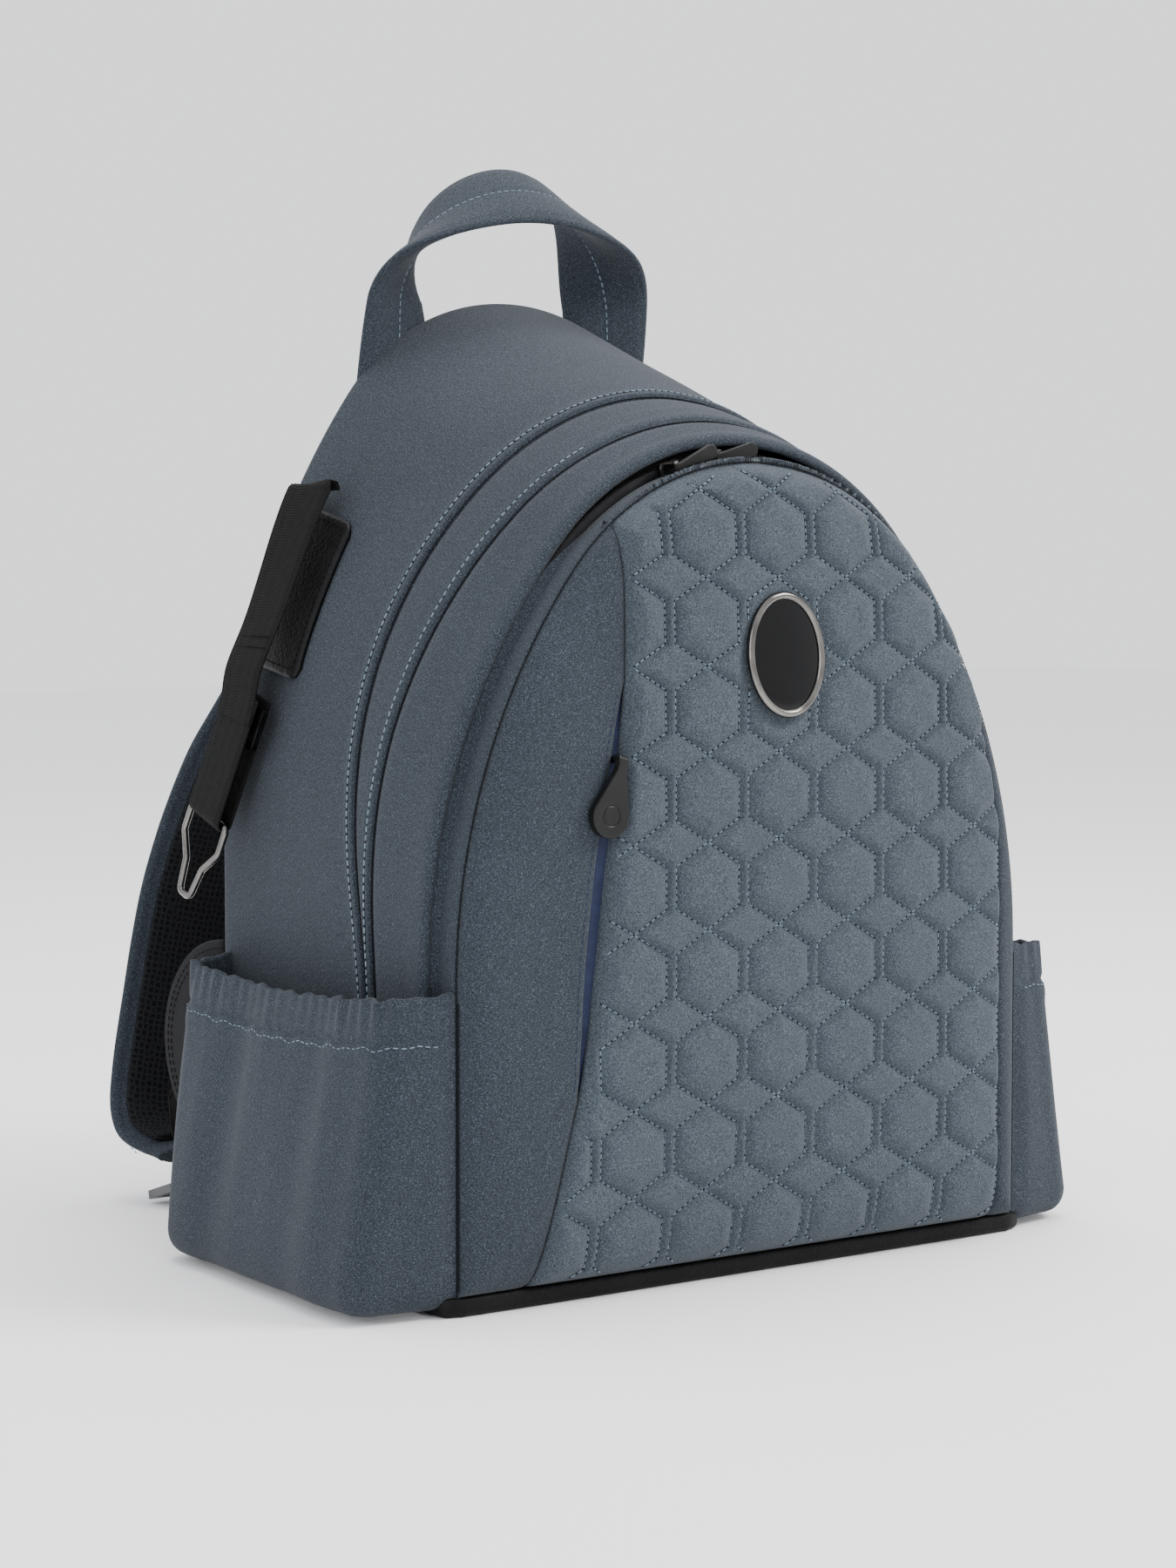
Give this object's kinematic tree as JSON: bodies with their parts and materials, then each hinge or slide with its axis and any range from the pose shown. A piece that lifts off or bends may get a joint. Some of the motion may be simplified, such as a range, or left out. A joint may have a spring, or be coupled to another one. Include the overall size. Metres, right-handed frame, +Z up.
{
  "type": "changing backpack",
  "caption": "Arched fabric changing backpack with a zipped drop-down front, quilted panel, side pockets, grab handle, padded straps and pram clips",
  "frame": {"origin": "on the floor at the middle of the base, on the bag's plane of symmetry", "axes": "+Z up, -Y is the front with the quilted panel, +Y the back with the carrying straps, -X the side of the front pocket's slit"},
  "size_m": [0.3992, 0.3387, 0.4927],
  "materials": {
    "shell_fabric": "blue-grey melange twill",
    "quilted_fabric": "quilted blue-grey melange twill",
    "back_fabric": "plain black weave",
    "lining_fabric": "smooth navy lining",
    "air_mesh": "open black spacer mesh",
    "leather_look": "fine pebble grain, semi-matt",
    "webbing": "ribbed black webbing",
    "elastic": "black elastic",
    "zip_tape": "herringbone zip tape with a coil chain",
    "dark_metal": "gunmetal plating, satin",
    "pull_rubber": "moulded, semi-matt",
    "badge_enamel": "domed, high gloss",
    "buckle_plastic": "moulded, fine texture",
    "stiffener": "flat board"
  },
  "bodies": {
    "bag": {"back_panel": "back_fabric", "back_mesh_pad_upper": "air_mesh", "back_mesh_pad_lower": "air_mesh", "rear_gusset": "shell_fabric", "gusset_strip": "shell_fabric", "front_gusset": "shell_fabric", "front_corner_left": "shell_fabric", "front_corner_right": "shell_fabric", "zip_rear_tape": "zip_tape", "base_cover": "leather_look", "base_board": "stiffener", "main_lining": "lining_fabric", "inner_pocket": "lining_fabric", "side_strip_lower": "shell_fabric", "quilted_panel_lower": "quilted_fabric", "edge_strip_lower": "shell_fabric", "pocket_lining_lower": "lining_fabric", "pocket_zip_tape_lower": "zip_tape", "handle_anchor": "shell_fabric", "side_pocket_left": "shell_fabric", "side_pocket_right": "shell_fabric", "pocket_hem_left": "shell_fabric", "pocket_hem_right": "shell_fabric", "pocket_elastic_left": "elastic", "pocket_elastic_right": "elastic", "clip_patch_left": "leather_look", "clip_patch_right": "leather_look", "strap_wing_left": "leather_look", "strap_wing_right": "leather_look"},
    "front_flap": {"zip_band": "shell_fabric", "zip_front_tape": "zip_tape", "side_strip_upper": "shell_fabric", "quilted_panel_upper": "quilted_fabric", "edge_strip_upper": "shell_fabric", "pocket_lining_upper": "lining_fabric", "pocket_zip_tape_upper": "zip_tape", "badge_rim": "dark_metal", "badge_inlay": "badge_enamel"},
    "zip_slider_left": {"zip_slider_left": "dark_metal"},
    "zip_pull_left": {"zip_pull_left": "pull_rubber"},
    "zip_slider_right": {"zip_slider_right": "dark_metal"},
    "zip_pull_right": {"zip_pull_right": "pull_rubber"},
    "pocket_slider": {"pocket_slider": "dark_metal"},
    "pocket_pull": {"pocket_pull": "pull_rubber"},
    "handle": {"handle_band": "shell_fabric"},
    "strap_left": {"strap_pad_left": "shell_fabric", "strap_mesh_left": "air_mesh", "ladder_lock_left": "buckle_plastic", "strap_webbing_left": "webbing"},
    "strap_right": {"strap_pad_right": "shell_fabric", "strap_mesh_right": "air_mesh", "ladder_lock_right": "buckle_plastic", "strap_webbing_right": "webbing"},
    "clip_strap_left": {"clip_webbing_left": "webbing"},
    "tri_glide_left": {"tri_glide_left": "dark_metal"},
    "pram_hook_left": {"pram_hook_left": "dark_metal"},
    "clip_strap_right": {"clip_webbing_right": "webbing"},
    "tri_glide_right": {"tri_glide_right": "dark_metal"},
    "pram_hook_right": {"pram_hook_right": "dark_metal"}
  },
  "joints": [
    {"name": "front_flap_fold", "type": "hinge", "parent": "bag", "child": "front_flap", "pos_m": [0, -0.1026, 0.132], "axis": [1, 0, 0], "range_deg": [0, 85]},
    {"name": "zip_slider_left_run", "type": "hinge", "parent": "front_flap", "child": "zip_slider_left", "pos_m": [0, -0.0765, 0.23], "axis": [0, 1, 0], "range_deg": [-31, 0]},
    {"name": "zip_pull_left_swing", "type": "hinge", "parent": "zip_slider_left", "child": "zip_pull_left", "pos_m": [-0.03705, -0.0832, 0.3475], "axis": [-0.3007, 0, 0.9537], "range_deg": [-150, 0]},
    {"name": "zip_slider_right_run", "type": "hinge", "parent": "front_flap", "child": "zip_slider_right", "pos_m": [0, -0.0765, 0.23], "axis": [0, 1, 0], "range_deg": [0, 55]},
    {"name": "zip_pull_right_swing", "type": "hinge", "parent": "zip_slider_right", "child": "zip_pull_right", "pos_m": [-0.01395, -0.0804, 0.35241], "axis": [-0.1132, 0, 0.9936], "range_deg": [-90, 0]},
    {"name": "pocket_slider_run", "type": "slide", "parent": "front_flap", "child": "pocket_slider", "axis": [-0.1205, 0, -0.9927], "range_m": [-0.023, 0.084]},
    {"name": "pocket_pull_swing", "type": "hinge", "parent": "pocket_slider", "child": "pocket_pull", "pos_m": [-0.08038, -0.1034, 0.226], "axis": [-0.9563, 0, 0.2924], "range_deg": [0, 150]},
    {"name": "handle_fold", "type": "hinge", "parent": "bag", "child": "handle", "pos_m": [0, 0.1005, 0.4245], "axis": [1, 0, 0], "range_deg": [-60, 45]},
    {"name": "strap_left_swing", "type": "hinge", "parent": "bag", "child": "strap_left", "pos_m": [-0.048, 0.112, 0.372], "axis": [0.3019, -0.1433, 0.9425], "range_deg": [-5, 0]},
    {"name": "strap_right_swing", "type": "hinge", "parent": "bag", "child": "strap_right", "pos_m": [0.048, 0.112, 0.372], "axis": [0.3019, 0.1433, -0.9425], "range_deg": [-5, 0]},
    {"name": "clip_strap_left_swing", "type": "hinge", "parent": "bag", "child": "clip_strap_left", "pos_m": [-0.1235, 0.07, 0.341], "axis": [0, 1, 0], "range_deg": [0, 60]},
    {"name": "tri_glide_left_run", "type": "slide", "parent": "clip_strap_left", "child": "tri_glide_left", "axis": [-0.1795, 0.2991, -0.9372], "range_m": [-0.002, 0.015]},
    {"name": "pram_hook_left_swing", "type": "hinge", "parent": "clip_strap_left", "child": "pram_hook_left", "pos_m": [-0.168, 0.085, 0.196], "axis": [0.0563, 0.9542, 0.2938], "range_deg": [-10, 80]},
    {"name": "clip_strap_right_swing", "type": "hinge", "parent": "bag", "child": "clip_strap_right", "pos_m": [0.1235, 0.07, 0.341], "axis": [0, -1, 0], "range_deg": [0, 60]},
    {"name": "tri_glide_right_run", "type": "slide", "parent": "clip_strap_right", "child": "tri_glide_right", "axis": [0.1795, 0.2991, -0.9372], "range_m": [-0.002, 0.015]},
    {"name": "pram_hook_right_swing", "type": "hinge", "parent": "clip_strap_right", "child": "pram_hook_right", "pos_m": [0.168, 0.085, 0.196], "axis": [0.0563, -0.9542, -0.2938], "range_deg": [-10, 80]}
  ]
}
